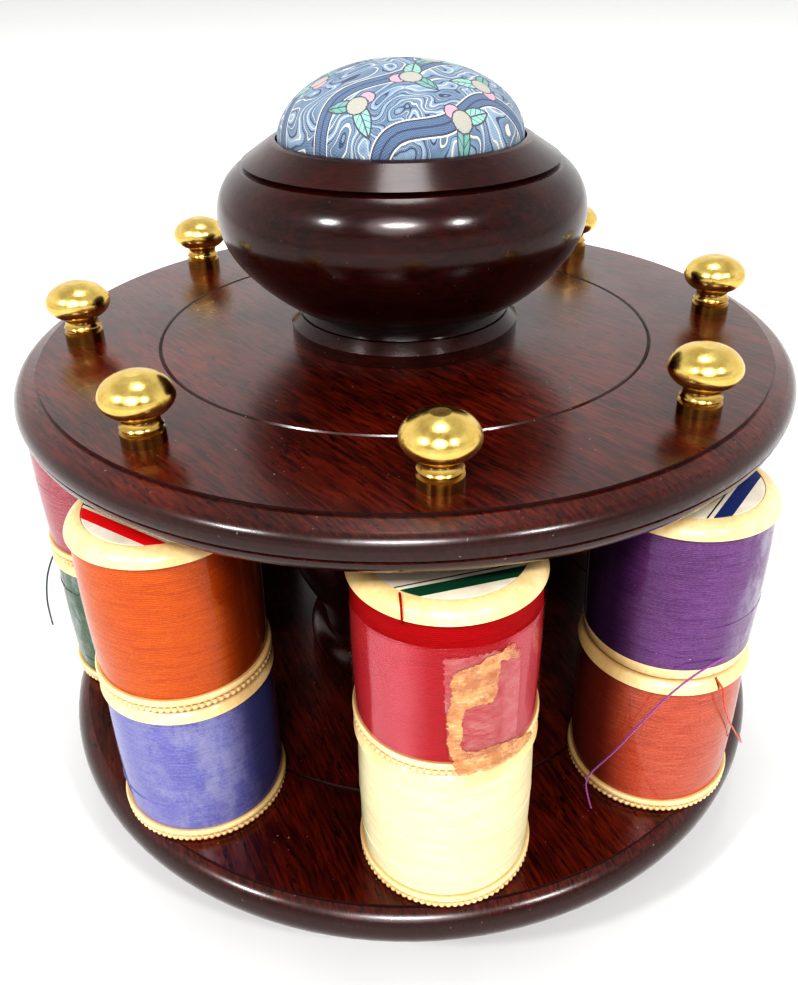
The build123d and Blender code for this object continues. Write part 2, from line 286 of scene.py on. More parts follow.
def reel_wood(name, milled=False):
    """Pale satin hardwood with upright fibres and faint turning lines, with painted shade in its creases and
    on the side towards the pillar.
    """
    s = Shader(name)
    fibre = s.spread(s.noise(s.stretched((1500, 1500, 90)), 1, 3), 0.35, 0.7)
    cloud = s.spread(s.noise(s.point, 110, 3), 0.35, 0.65)
    tone = s.mix(cloud, (0.80, 0.58, 0.28), (0.90, 0.73, 0.42))
    tone = s.mix(s.math("MULTIPLY", fibre, 0.35), tone, (0.66, 0.42, 0.17))
    # Painted shade: brown darkening in creases and between the flanges, found by ambient occlusion.
    crease_occlusion = s.node("AmbientOcclusion", (1, 1, 1, 1), 1.6 * MM, out=1, samples=8)
    tone = s.mix(s.spread(crease_occlusion, 0.25, 0.85, 0.85, 0.0), tone, (0.34, 0.15, 0.035))
    # Painted shade: darker brown on the side of the reel towards the pillar.
    tone = s.mix(s.math("MULTIPLY", painted_inner_shade(s), 0.6), tone, (0.30, 0.16, 0.05))
    if milled:
        # Painted shade: brown in the hollows between the teeth of the milled edge.
        flat = s.flat_length(s.from_middle(), 2)
        tone = s.mix(s.spread(flat, 0.976, 0.998, 0.7, 0.0), tone, (0.30, 0.15, 0.045))
    rings = s.noise(s.stretched((60, 60, 5200)), 1, 1)
    return s.surface(
        base_color=tone,
        roughness=0.38,
        normal=s.bump(s.math("ADD", rings, fibre), 0.00002, 0.5),
        subsurface_weight=0.15,
        subsurface_radius=(0.001, 0.0006, 0.0003),
        subsurface_scale=0.5,
        coat_weight=0.35,
        coat_roughness=0.18,
    )


def brass():
    """Polished turned brass with fine rings round the knob's own axis, darker brown towards its foot."""
    s = Shader("brass")
    x, y, z = s.axes(s.from_middle())
    radius = s.math("SQRT", s.math("ADD", s.math("MULTIPLY", x, x), s.math("MULTIPLY", y, y)))
    rings = s.noise(s.vector(s.math("MULTIPLY", radius, 60), s.math("MULTIPLY", z, 70), 0), 1, 3, 0.6)
    cloud = s.spread(s.noise(s.point, 420, 4, 0.6), 0.35, 0.7)
    # Darker brown towards the bottom of the knob.
    darker_towards_foot = s.spread(z, 0.14, 0.50, 1.0, 0.0)
    tone = s.mix(cloud, (0.78, 0.55, 0.16), (0.92, 0.72, 0.26))
    tone = s.mix(s.math("MULTIPLY", darker_towards_foot, 0.85), tone, (0.30, 0.14, 0.035))
    return s.surface(
        base_color=tone,
        metallic=1.0,
        roughness=s.spread(cloud, 0, 1, 0.17, 0.28),
        normal=s.bump(rings, 0.00003, 0.35),
    )


def steel():
    """Drawn steel rod and washers."""
    s = Shader("steel")
    fine = s.noise(s.stretched((4000, 4000, 120)), 1, 2)
    tone = s.mix(s.noise(s.point, 300, 3), (0.42, 0.41, 0.40), (0.60, 0.59, 0.58))
    return s.surface(
        base_color=tone,
        metallic=1.0,
        roughness=s.spread(fine, 0.3, 0.7, 0.22, 0.38),
        normal=s.bump(fine, 0.000006, 0.4),
    )


def felt():
    """Green baize with short matted fibres."""
    s = Shader("green_felt")
    tuft = s.noise(s.point, 1900, 4, 0.65)
    tone = s.mix(s.spread(tuft, 0.3, 0.7), (0.012, 0.06, 0.03), (0.04, 0.15, 0.075))
    return s.surface(
        base_color=tone,
        roughness=0.95,
        normal=s.bump(tuft, 0.0003, 0.8),
        sheen_weight=0.6,
        sheen_roughness=0.4,
    )


def wound_thread(name, deep, full, pale, wrapped=True, scuff_glare=0.0, glare_side=(0.0, -1.0)):
    """Thread wound in close level turns, most of it under a clear film."""
    s = Shader(name)
    x, y, z = s.axes(s.point)
    gx, gy, _ = s.axes(s.from_middle())

    def level_noise(round_about, upward, detail):
        point = s.vector(
            s.math("MULTIPLY", gx, round_about),
            s.math("MULTIPLY", gy, round_about),
            s.math("MULTIPLY", z, upward),
        )
        return s.noise(point, 1, detail, 0.6)

    turns = s.math("SINE", s.math("MULTIPLY", z, 2 * math.pi / THREAD_PITCH))
    turns = s.math("ADD", s.math("MULTIPLY", turns, 0.5), 0.5)
    lay = level_noise(9, 4200, 2)
    bands = level_noise(2.5, 1500, 2)
    fuzz = s.noise(s.stretched((2500, 2500, 5200)), 1, 2)
    tone = s.mix(s.spread(bands, 0.20, 0.60, 0.35, 1.0), deep, full)
    grains = s.math("ADD", s.math("MULTIPLY", lay, 0.45), s.math("MULTIPLY", fuzz, 0.55))
    tone = s.mix(s.math("MULTIPLY", s.spread(grains, 0.42, 0.70), 0.75), tone, pale)
    # Painted shade: darker in the grooves between the turns.
    tone = s.mix(s.spread(turns, 0.0, 0.5, 0.35, 0.0), tone, tuple(c * 0.3 for c in deep))
    # Painted shade: much darker on the side of the winding towards the pillar.
    tone = s.mix(s.math("MULTIPLY", painted_inner_shade(s), 0.8), tone, tuple(c * 0.22 for c in deep))
    # Pale patches on the facing side: scuffed film and painted glare of the bright surroundings.
    if scuff_glare:
        point = s.vector(s.math("MULTIPLY", x, 210), s.math("MULTIPLY", y, 210), s.math("MULTIPLY", z, 120))
        patch = s.noise(point, 1, 5, 0.7)
        facing = s.math("ADD", s.math("MULTIPLY", gx, glare_side[0]), s.math("MULTIPLY", gy, glare_side[1]))
        share = s.masked(s.spread(patch, 0.46, 0.62), s.spread(facing, 0.30, 0.47), scuff_glare)
        tone = s.mix(share, tone, (0.42, 0.42, 0.48))
    tone = s.mix(THREAD_DULLING, tone, (0.0, 0.0, 0.0))
    height = s.math("ADD", s.math("ADD", turns, s.math("MULTIPLY", lay, 1.2)), s.math("MULTIPLY", fuzz, 0.5))
    return s.surface(
        base_color=tone,
        roughness=0.55,
        normal=s.bump(height, 0.00006, 0.55),
        specular_ior_level=0.12,
        coat_weight=0.9 if wrapped else 0.0,
        coat_roughness=0.07,
        coat_ior=1.45,
    )


def label_paper(name, bands):
    """Plain reel label. Each band has a colour, a direction, and its edges in millimetres from the axis."""
    s = Shader(name)
    point = s.node("VectorMath", s.from_middle(), (LABEL_WIDTH, LABEL_WIDTH, 0), operation="MULTIPLY")
    x, y, _ = s.axes(point)
    age = s.noise(s.point, 240, 4, 0.6)
    tone = s.mix(s.spread(age, 0.3, 0.7), (0.70, 0.62, 0.47), (0.84, 0.79, 0.68))
    for colour, lean, near, far in bands:
        mask = s.masked(s.beyond(x, y, lean, near), s.beyond(x, y, lean + 180, -far))
        tone = s.mix(mask, tone, colour)
    # Painted shade: browner on the part of the label towards the pillar, where the disc's shadow falls.
    tone = s.mix(s.math("MULTIPLY", painted_inner_shade(s), 0.45), tone, (0.20, 0.13, 0.07))
    fibre = s.noise(s.point, 5000, 2)
    return s.surface(
        base_color=tone,
        roughness=0.42,
        normal=s.bump(fibre, 0.000015, 0.4),
        coat_weight=0.3,
        coat_roughness=0.2,
    )


def clear_film():
    """Thin clear sleeve, paler and pinker in two upright zones, frosting with painted reflection there, and a
    little at the back.
    """
    s = Shader("clear_film")
    x, y, _ = s.axes(s.from_middle())
    round_about = s.math("ARCTAN2", x, s.math("MULTIPLY", y, -1.0))
    left = s.masked(
        s.spread(round_about, -1.00, -0.92, smooth=True),
        s.spread(round_about, -0.62, -0.22, 1.0, 0.0, True),
    )
    right = s.masked(
        s.spread(round_about, 0.40, 0.62, smooth=True),
        s.spread(round_about, 0.98, 1.06, 1.0, 0.0, True),
    )
    behind = s.spread(s.math("ABSOLUTE", round_about), 1.5, 2.1, 0.0, 0.5, True)
    cloud = s.spread(s.noise(s.stretched((420, 420, 160)), 1, 4, 0.6), 0.30, 0.70, 0.75, 1.0)
    # Painted reflection and frosting: pale pink film in the two upright zones, less at the back.
    frost_and_reflection = s.math("MULTIPLY", s.math("ADD", s.math("ADD", left, right), behind), cloud)
    return s.surface(
        base_color=(0.92, 0.24, 0.30),
        roughness=0.2,
        alpha=s.spread(frost_and_reflection, 0.0, 1.0, 0.05, 0.22),
        normal=s.bump(s.noise(s.stretched((90, 90, 40)), 1, 2), 0.00010, 0.25),
        coat_weight=1.0,
        coat_roughness=0.05,
    )


def tape_film():
    """Clearer backing of the tape, still stuck down."""
    s = Shader("tape_film")
    cloud = s.noise(s.stretched((500, 500, 900)), 1, 4, 0.65)
    tone = s.mix(s.spread(cloud, 0.4, 0.65), (0.74, 0.16, 0.18), (0.90, 0.46, 0.42))
    return s.surface(
        base_color=tone,
        roughness=0.25,
        alpha=0.20,
        normal=s.bump(cloud, 0.00008, 0.5),
        coat_weight=1.0,
        coat_roughness=0.08,
    )


def tape_remains():
    """Yellowed, cracked remains of adhesive tape."""
    s = Shader("tape_remains")
    crack = s.noise(s.stretched((700, 700, 2600)), 1, 4, 0.65)
    cloud = s.noise(s.point, 380, 4, 0.6)
    tone = s.mix(s.spread(cloud, 0.35, 0.65), (0.74, 0.29, 0.11), (0.84, 0.47, 0.20))
    tone = s.mix(s.spread(crack, 0.55, 0.68), tone, (0.95, 0.74, 0.42))
    return s.surface(
        base_color=tone,
        roughness=0.32,
        alpha=s.spread(cloud, 0.38, 0.62, 0.28, 0.58),
        normal=s.bump(s.math("ADD", crack, cloud), 0.00007, 0.5),
        coat_weight=0.6,
        coat_roughness=0.15,
    )


NAVY = (0.020, 0.034, 0.090)
SLATE = (0.085, 0.145, 0.230)
SKY = (0.210, 0.300, 0.400)
CREAM = (0.62, 0.57, 0.48)
MINT = (0.240, 0.520, 0.390)
TEAL = (0.110, 0.340, 0.250)
PINK = (0.54, 0.29, 0.36)
PETAL = (0.36, 0.35, 0.30)
OUTLINE = (0.045, 0.045, 0.075)

# Plain repeat over the dome, in millimetres and degrees: even ribbons, and equal sprigs on a spiral
RIBBON_LEAN = 32
RIBBON_STEPS = (-21, -7, 7, 21)
RIBBON_WIDTH, RIBBON_SWING, RIBBON_WAVE = 1.3, 1.8, 24
SPRIGS = 11
SPRIG_TURN = 137.508
SPRIG_SPREAD = 7.2
SPRIG_LEAN = 40


def polar(degrees, far, x=0.0, y=0.0):
    """The point at a distance and direction from a place."""
    return x + far * math.cos(math.radians(degrees)), y + far * math.sin(math.radians(degrees))


# Each leaf: place, direction, half length, half width and tone. Each petal: place, radius and tone.
LEAVES, PETALS = [], []
for count in range(SPRIGS):
    sprig = polar(SPRIG_TURN * count, SPRIG_SPREAD * math.sqrt(count + 0.6))
    lean = SPRIG_LEAN * count
    LEAVES.append((*polar(lean, 3.0, *sprig), lean, 3.6, 1.4, MINT))
    LEAVES.append((*polar(lean + 240, 2.8, *sprig), lean + 60, 2.9, 1.2, TEAL))
    PETALS.append((*polar(lean + 110, 2.3, *sprig), 1.4, PINK))
    PETALS.append((*sprig, 1.9, PETAL))


def printed_cotton(top):
    """Plain-weave cotton with a generic repeat of ribbons and sprigs, spread over a dome from its top."""
    s = Shader("printed_cotton")
    low = s.node("VectorMath", s.point, (0, 0, top), operation="SUBTRACT")
    scaled = s.node("VectorMath", low, (1 / MM, 1 / MM, 1 / MM), operation="MULTIPLY")
    x, y, z = s.axes(scaled)
    radius = s.node("VectorMath", s.vector(x, y, 0), operation="LENGTH", out=1)
    swell = s.math("DIVIDE", s.math("MULTIPLY", z, -0.5), s.math("ADD", radius, 0.01))
    swell = s.math("ADD", swell, 1.0)
    point = s.vector(s.math("MULTIPLY", x, swell), s.math("MULTIPLY", y, swell), 0)
    u, v, _ = s.axes(point)

    flow = s.math("MULTIPLY", s.noise(point, 0.062, 1.5, 0.5, 1.4), 17)
    saw = s.math("FRACT", flow)
    tone = s.mix(s.spread(s.math("PINGPONG", flow, 1.0), 0.15, 0.85), SLATE, SKY)
    busy = s.noise(point, 0.10, 1)
    tone = s.mix(s.math("LESS_THAN", saw, s.spread(busy, 0.38, 0.6, 0.03, 0.16)), tone, CREAM)
    dark = s.math("COMPARE", saw, 0.62, s.spread(busy, 0.4, 0.62, 0.10, 0.04))
    tone = s.mix(dark, tone, NAVY)

    width = RIBBON_WIDTH
    for step in RIBBON_STEPS:
        along, across = s.along_across(point, *polar(RIBBON_LEAN + 90, step), RIBBON_LEAN)
        wave = s.math("SINE", s.math("MULTIPLY", along, 2 * math.pi / RIBBON_WAVE))
        off = s.math("ABSOLUTE", s.math("SUBTRACT", across, s.math("MULTIPLY", wave, RIBBON_SWING)))
        hatch = s.math("SINE", s.math("MULTIPLY", s.math("ADD", along, s.math("MULTIPLY", across, 2.2)), 9))
        inside = s.mix(s.math("GREATER_THAN", hatch, 0.25), SLATE, (0.045, 0.085, 0.19))
        tone = s.mix(s.math("LESS_THAN", off, width + 0.55), tone, CREAM)
        tone = s.mix(s.math("LESS_THAN", off, width + 0.30), tone, NAVY)
        tone = s.mix(s.math("LESS_THAN", off, width), tone, inside)
        tone = s.mix(s.math("LESS_THAN", off, 0.16), tone, NAVY)

    for at_x, at_y, angle, long, wide, colour in LEAVES:
        curve = (long * long + wide * wide) / (2 * wide)
        turn = math.radians(angle)
        side = (-math.sin(turn) * (curve - wide), math.cos(turn) * (curve - wide))
        reach = s.math(
            "MAXIMUM",
            s.distance(point, at_x + side[0], at_y + side[1]),
            s.distance(point, at_x - side[0], at_y - side[1]),
        )
        along, across = s.along_across(point, at_x, at_y, angle)
        aside = s.math("ABSOLUTE", across)
        slant = s.math("SUBTRACT", s.math("MULTIPLY", along, 4.5), s.math("MULTIPLY", aside, 5))
        midrib = s.math("LESS_THAN", aside, 0.13)
        vein = s.math("MAXIMUM", midrib, s.math("GREATER_THAN", s.math("SINE", slant), 0.93))
        shade = s.mix(s.spread(across, -wide, wide, 0.0, 0.45), colour, SKY)
        shade = s.mix(vein, shade, OUTLINE)
        tone = s.mix(s.math("LESS_THAN", reach, curve + 0.30), tone, OUTLINE)
        tone = s.mix(s.math("LESS_THAN", reach, curve), tone, shade)

    speck = s.noise(point, 2.2, 2)
    for at_x, at_y, size, colour in PETALS:
        wobble = s.math("MULTIPLY", s.math("SUBTRACT", speck, 0.5), 0.5)
        reach = s.math("ADD", s.distance(point, at_x, at_y), wobble)
        tone = s.mix(s.math("LESS_THAN", reach, size + 0.26), tone, OUTLINE)
        tone = s.mix(s.math("LESS_THAN", reach, size), tone, colour)

    warp = s.math("SINE", s.math("MULTIPLY", u, 2 * math.pi / WEAVE_PITCH))
    weft = s.math("SINE", s.math("MULTIPLY", v, 2 * math.pi / WEAVE_PITCH))
    weave = s.math("MULTIPLY", warp, weft)
    tone = s.mix(s.spread(weave, -1, 1, 0.0, 0.10), tone, (0.80, 0.80, 0.78))
    return s.surface(
        base_color=tone,
        roughness=0.85,
        normal=s.bump(s.math("ADD", weave, s.math("MULTIPLY", speck, 0.4)), 0.00005, 0.6),
        sheen_weight=0.12,
        sheen_roughness=0.5,
    )


def floor_white():
    """Pale paper sweep, painted paler towards the back, where it stands in for brighter light."""
    s = Shader("floor_white")
    _, reach, _ = s.axes(s.point)
    grain = s.math("MULTIPLY", s.noise(s.point, 40, 3), 0.06)
    # Painted light: the floor's colour grows paler towards the back.
    pale = s.math("ADD", s.spread(reach, 0.05, 0.60, 0.64, 0.88), grain)
    tone = s.vector(pale, pale, s.math("MULTIPLY", pale, 0.99))
    return s.surface(base_color=tone, roughness=0.9)


# Deep, full and pale tone of each thread, by station and level
THREADS = {
    (1, "upper"): ((0.22, 0.001, 0.003), (0.36, 0.001, 0.004), (0.48, 0.003, 0.008)),
    (1, "lower"): ((0.72, 0.60, 0.28), (0.88, 0.80, 0.50), (0.98, 0.93, 0.70)),
    (2, "upper"): ((0.070, 0.012, 0.090), (0.145, 0.042, 0.185), (0.27, 0.11, 0.31)),
    (2, "lower"): ((0.30, 0.026, 0.012), (0.52, 0.085, 0.040), (0.68, 0.19, 0.10)),
    (3, "upper"): ((0.004, 0.09, 0.09), (0.01, 0.18, 0.18), (0.05, 0.32, 0.30)),
    (3, "lower"): ((0.62, 0.62, 0.60), (0.82, 0.82, 0.80), (0.94, 0.94, 0.92)),
    (4, "upper"): ((0.14, 0.12, 0.10), (0.24, 0.21, 0.18), (0.38, 0.34, 0.30)),
    (4, "lower"): ((0.004, 0.008, 0.03), (0.010, 0.020, 0.07), (0.03, 0.05, 0.14)),
    (5, "upper"): ((0.62, 0.30, 0.012), (0.86, 0.48, 0.03), (0.95, 0.66, 0.12)),
    (5, "lower"): ((0.004, 0.035, 0.012), (0.01, 0.075, 0.028), (0.04, 0.15, 0.07)),
    (6, "upper"): ((0.48, 0.07, 0.13), (0.72, 0.16, 0.25), (0.86, 0.32, 0.40)),
    (6, "lower"): ((0.045, 0.018, 0.008), (0.09, 0.038, 0.018), (0.18, 0.09, 0.05)),
    (7, "upper"): ((0.24, 0.035, 0.055), (0.40, 0.085, 0.11), (0.60, 0.24, 0.26)),
    (7, "lower"): ((0.010, 0.045, 0.014), (0.03, 0.09, 0.035), (0.09, 0.18, 0.09)),
    (8, "upper"): ((0.36, 0.034, 0.000), (0.56, 0.088, 0.000), (0.72, 0.17, 0.001)),
    (8, "lower"): ((0.085, 0.085, 0.30), (0.160, 0.155, 0.44), (0.30, 0.30, 0.58)),
}

PLAN_GRAIN = math.radians(55)
UPRIGHT_GRAIN = math.radians(90)
# edge gives the strength of the painted shade on the sideways faces.
disc_wood = mahogany("mahogany_disc", (0, 0, PLAN_GRAIN), edge=0.8)
base_wood = mahogany("mahogany_base", (0, 0, PLAN_GRAIN + 0.3), edge=0.85)
bowl_wood = mahogany("mahogany_bowl", (0, 0, 0.12), 0.17, 0.52, 0.5, varnish=0.75)
pillar_wood = mahogany("mahogany_pillar", (0, UPRIGHT_GRAIN, 0), depth=0.6)
pale_wood = reel_wood("reel_wood")
milled_wood = reel_wood("reel_wood_milled", milled=True)
knob_brass = brass()
rod_steel = steel()
baize = felt()


def dress(node, material):
    """Give a CAD node its finished material."""
    for place in NODES[node].material_slots:
        place.material = material


dress("top_disc", disc_wood)
dress("bottom_disc", base_wood)
dress("base_plinth", base_wood)
dress("bowl", bowl_wood)
dress("column", pillar_wood)
dress("base_felt", baize)
for node in ("pivot_bolt", "pivot_washers"):
    dress(node, rod_steel)

# Reels with pale patches on their film, scuffs and painted glare, and the side that these face
SCUFF_GLARE_REELS = {
    (8, "lower"): {"scuff_glare": 0.35, "glare_side": (0.05, -0.95)},
    (2, "upper"): {"scuff_glare": 0.60, "glare_side": (0.93, -0.36)},
    (7, "lower"): {"scuff_glare": 0.50, "glare_side": (-0.40, -0.92)},
}
for station in STATIONS:
    dress(f"knob_{station}", knob_brass)
    dress(f"rod_{station}", rod_steel)

thread_looks = {}
for station, level in REELS:
    dress(f"spool_{station}_{level}", pale_wood)
    looks = wound_thread(
        f"thread_{station}_{level}",
        *THREADS[station, level],
        wrapped=station != 1,
        **SCUFF_GLARE_REELS.get((station, level), {}),
    )
    thread_looks[station, level] = looks
    dress(f"thread_{station}_{level}", looks)


# --- Loose thread ends ---

TAIL_DIAMETER = 0.35 * MM


def twisted_end(name, deep, full):
    """Loose thread whose plies show as slanting turns."""
    s = Shader(name)
    x, y, z = s.axes(s.point)
    lean = s.math("ADD", s.math("MULTIPLY", z, 9000), s.math("MULTIPLY", s.math("ADD", x, y), 14000))
    ply = s.math("ADD", s.math("MULTIPLY", s.math("SINE", lean), 0.5), 0.5)
    fuzz = s.noise(s.point, 6000, 2)
    return s.surface(
        base_color=s.mix(s.math("MULTIPLY", ply, s.spread(fuzz, 0.2, 0.6)), deep, full),
        roughness=0.6,
        normal=s.bump(ply, 0.00004, 0.6),
        sheen_weight=0.3,
        sheen_roughness=0.4,
    )


PURPLE_END = twisted_end("purple_end", (0.17, 0.03, 0.17), (0.46, 0.13, 0.48))
ORANGE_END = twisted_end("orange_red_end", (0.42, 0.035, 0.008), (0.78, 0.11, 0.02))
GREEN_END = twisted_end("green_end", (0.012, 0.035, 0.028), (0.05, 0.11, 0.09))


def thread_tail(node, body, material, station, route):
    """One hanging thread end along route, whose points are measured from the pin's axis."""
    pin = centre_of(f"rod_{station}")
    points = [(pin.x + x * MM, pin.y + y * MM, z * MM) for x, y, z in route]
    curve = bpy.data.curves.new(node + "_line", "CURVE")
    curve.dimensions = "3D"
    curve.resolution_u = 8
    curve.bevel_depth = TAIL_DIAMETER / 2
    curve.bevel_resolution = 2
    curve.use_fill_caps = True
    spline = curve.splines.new("NURBS")
    spline.points.add(len(points) - 1)
    for place, point in zip(spline.points, points):
        place.co = (*point, 1)
    spline.order_u = 3
    spline.use_endpoint_u = True
    tail = bpy.data.objects.new(node + "_line", curve)
    bpy.context.scene.collection.objects.link(tail)
    curve.materials.append(material)
    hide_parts(node)
    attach(tail, body)


thread_tail(
    "thread_tail_2_upper",
    "reel_2_upper",
    PURPLE_END,
    2,
    [
        (8.1, -11.8, 55.5),
        (3.5, -14.7, 55.8),
        (-0.8, -16.2, 54.5),
        (-4.2, -16.6, 51.4),
        (-6.5, -16.4, 47.8),
        (-9.0, -15.5, 42.4),
        (-11.7, -13.9, 35.2),
        (-14.5, -12.0, 28.9),
        (-15.4, -11.8, 26.0),
        (-14.9, -12.5, 22.9),
        (-14.2, -13.3, 20.5),
    ],
)
thread_tail(
    "thread_tail_2_lower",
    "reel_2_lower",
    ORANGE_END,
    2,
    [
        (4.8, -13.2, 50.6),
        (5.5, -15.1, 50.4),
        (5.9, -15.4, 46.9),
        (8.2, -13.7, 41.4),
        (12.6, -10.2, 33.4),
        (17.5, -4.9, 24.6),
        (19.0, 0.2, 22.2),
    ],
)
thread_tail(
    "thread_tail_7_lower",
    "reel_7_lower",
    GREEN_END,
    7,
    [
        (-13.7, 4.2, 47.6),
        (-15.2, -0.6, 48.1),
        (-16.5, -4.6, 45.0),
        (-18.2, -3.4, 39.3),
        (-20.0, -0.5, 32.4),
        (-21.6, 3.7, 24.4),
    ],
)


# --- Mesh pieces ---


def piece(name, vertices, faces, material, body, slot):
    """Mesh object in the row frame that rides on a body."""
    mesh = bpy.data.meshes.new(name)
    mesh.from_pydata([tuple(v) for v in vertices], [], faces)
    mesh.update()
    mesh.materials.append(material)
    mesh.polygons.foreach_set("use_smooth", [True] * len(mesh.polygons))
    made = bpy.data.objects.new(name, mesh)
    bpy.context.scene.collection.objects.link(made)
    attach(made, body)


def revolved(centre, around, outline):
    """Vertices and faces of a closed outline of (radius, height) functions turned round an axis.

    Each outline entry is a function of the angle that gives (radius, height).
    """
    vertices, faces = [], []
    rows = len(outline)
    for step in range(around):
        angle = 2 * math.pi * step / around
        for entry in outline:
            radius, height = entry(angle)
            vertices.append((
                centre.x + radius * math.cos(angle),
                centre.y + radius * math.sin(angle),
                centre.z + height,
            ))
    for step in range(around):
        following = (step + 1) % around
        for row in range(rows):
            after = (row + 1) % rows
            faces.append((
                step * rows + row,
                following * rows + row,
                following * rows + after,
                step * rows + after,
            ))
    return vertices, faces


MILL_TEETH = 84
SMOOTH_REEL = (2, "upper")


def milled_edge(station, level):
    """Toothed ring round a reel's lower flange."""
    seat = reel_seat(station, level)

    def tooth(angle):
        wave = 0.5 + 0.5 * math.cos(MILL_TEETH * angle)
        return min(1.0, 1.5 * wave)

    def level_at(root, reach, height):
        return lambda angle: ((root + reach * tooth(angle)) * MM, height * MM)

    outline = [
        level_at(14.3, 0.0, 0.06),
        level_at(14.65, 0.20, 0.10),
        level_at(14.9, 0.24, 0.34),
        level_at(14.9, 0.24, 0.78),
        level_at(14.75, 0.20, 1.02),
        level_at(14.4, 0.05, 1.16),
        level_at(14.2, 0.0, 1.1),
    ]
    vertices, faces = revolved(seat, MILL_TEETH * 6, outline)
    name = f"milled_edge_{station}_{level}"
    piece(name, vertices, faces, milled_wood, f"reel_{station}_{level}", "reel_wood")


for station, level in REELS:
    if (station, level) != SMOOTH_REEL:
        milled_edge(station, level)


# --- Labels on the upper reels ---

RED = (0.72, 0.008, 0.010)
GREEN = (0.006, 0.070, 0.034)
BLUE = (0.02, 0.04, 0.16)
VIOLET = (0.05, 0.012, 0.09)
INK = (0.010, 0.022, 0.016)

# Near and far edges of the band and of the ruled line beside it, in millimetres from the axis
BAND_EDGES = (7.6, 9.8)
RULE_EDGES = (6.7, 6.95)

# Each label's band colour, and its direction in degrees
BANDS = {
    1: (GREEN, -78),
    2: (BLUE, -40),
    3: (GREEN, 20),
    4: (BLUE, 60),
    5: (RED, 100),
    6: (VIOLET, 140),
    7: (GREEN, 180),
    8: (RED, 232),
}


def label_bands(station):
    """The band and its ruled line."""
    colour, lean = BANDS[station]
    return [(colour, lean, *BAND_EDGES), (INK, lean, *RULE_EDGES)]


def reel_label(station):
    """Thin paper ring in the recess of a reel's top flange, its edges turned down."""
    seat = reel_seat(station, "upper")
    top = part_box(f"spool_{station}_upper")[1].z - seat.z
    rim = LABEL_WIDTH / 2
    rows = [
        (4.5, -0.14), (4.6, -0.03), (6.5, -0.03), (9.5, -0.025), (11.9, -0.03), (rim, -0.06), (rim, -0.14),
    ]

    def row(radius, drop):
        return lambda angle: (radius * MM, top + drop * MM)

    vertices, faces = revolved(seat, 96, [row(*r) for r in rows])
    name = f"label_{station}"
    paper = label_paper(name, label_bands(station))
    piece(name, vertices, faces, paper, f"reel_{station}_upper", "label_paper")


for station in STATIONS:
    reel_label(station)


# --- Stray strands over the winding, and the caught end on the front reel ---


def tube(path, radius, sides=6):
    """Vertices and faces of a closed round tube through a list of points."""
    vertices, faces = [], []
    for index, point in enumerate(path):
        before = path[max(index - 1, 0)]
        after = path[min(index + 1, len(path) - 1)]
        forward = (after - before).normalized()
        upright = abs(forward.z) > 0.9
        side = (forward.orthogonal() if upright else forward.cross(Vector((0, 0, 1)))).normalized()
        up = side.cross(forward).normalized()
        for step in range(sides):
            turn = 2 * math.pi * step / sides
            vertices.append(point + radius * (math.cos(turn) * side + math.sin(turn) * up))
    for index in range(len(path) - 1):
        for step in range(sides):
            following = (step + 1) % sides
            here, there = index * sides, (index + 1) * sides
            faces.append((here + step, here + following, there + following, there + step))
    last = (len(path) - 1) * sides
    faces.append(tuple(reversed(range(sides))))
    faces.append(tuple(range(last, last + sides)))
    return vertices, faces


def joined(parts):
    """Several sets of vertices and faces as one."""
    vertices, faces = [], []
    for some_vertices, some_faces in parts:
        start = len(vertices)
        vertices += some_vertices
        faces += [tuple(start + corner for corner in face) for face in some_faces]
    return vertices, faces


SLEEVED_REEL = (1, "upper")
STRANDS, STRANDS_ON_CREAM = 2, 6
STRAND_RADIUS = 0.10 * MM
STRAND_STEPS = 40
strand_draw = random.Random(7)


def stray_strands(station, level, count):
    """A few turns laid askew over the level winding."""
    low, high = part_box(f"thread_{station}_{level}")
    centre = (low + high) / 2
    radius = (high.x - low.x) / 2
    tubes = []
    for _ in range(count):
        start = strand_draw.uniform(0, 2 * math.pi)
        sweep = strand_draw.uniform(1.2, 3.6)
        bottom = strand_draw.uniform(0.12, 0.8)
        climb = strand_draw.uniform(-0.12, 0.12)
        path = []
        for step in range(STRAND_STEPS + 1):
            share = step / STRAND_STEPS
            height = min(0.96, max(0.04, bottom + climb * share))
            sunk = 0.22 * MM * (2 * share - 1) ** 6
            middle = 1 - (2 * height - 1) ** 4
            reach = radius - 0.3 * MM * (1 - middle) - 0.03 * MM - sunk
            angle = start + sweep * share
            path.append(Vector((
                centre.x + reach * math.cos(angle),
                centre.y + reach * math.sin(angle),
                low.z + (high.z - low.z) * height,
            )))
        tubes.append(tube(path, STRAND_RADIUS, 5))
    vertices, faces = joined(tubes)
    slot = next(
        m["material_slot"]
        for m in frame["record"]["subparts"]
        if m["node"] == f"thread_{station}_{level}"
    )
    piece(
        f"strands_{station}_{level}",
        vertices,
        faces,
        thread_looks[station, level],
        f"reel_{station}_{level}",
        slot,
    )


for station, level in REELS:
    if (station, level) != SLEEVED_REEL:
        stray_strands(station, level, STRANDS_ON_CREAM if (station, level) == (1, "lower") else STRANDS)


def on_reel(station, level, angle, height, radius):
    """Point on a reel, its angle in degrees from straight ahead towards +X, lengths in millimetres."""
    seat = reel_seat(station, level)
    turn = math.radians(angle)
    return Vector((
        seat.x + radius * MM * math.sin(turn),
        seat.y - radius * MM * math.cos(turn),
        seat.z + height * MM,
    ))


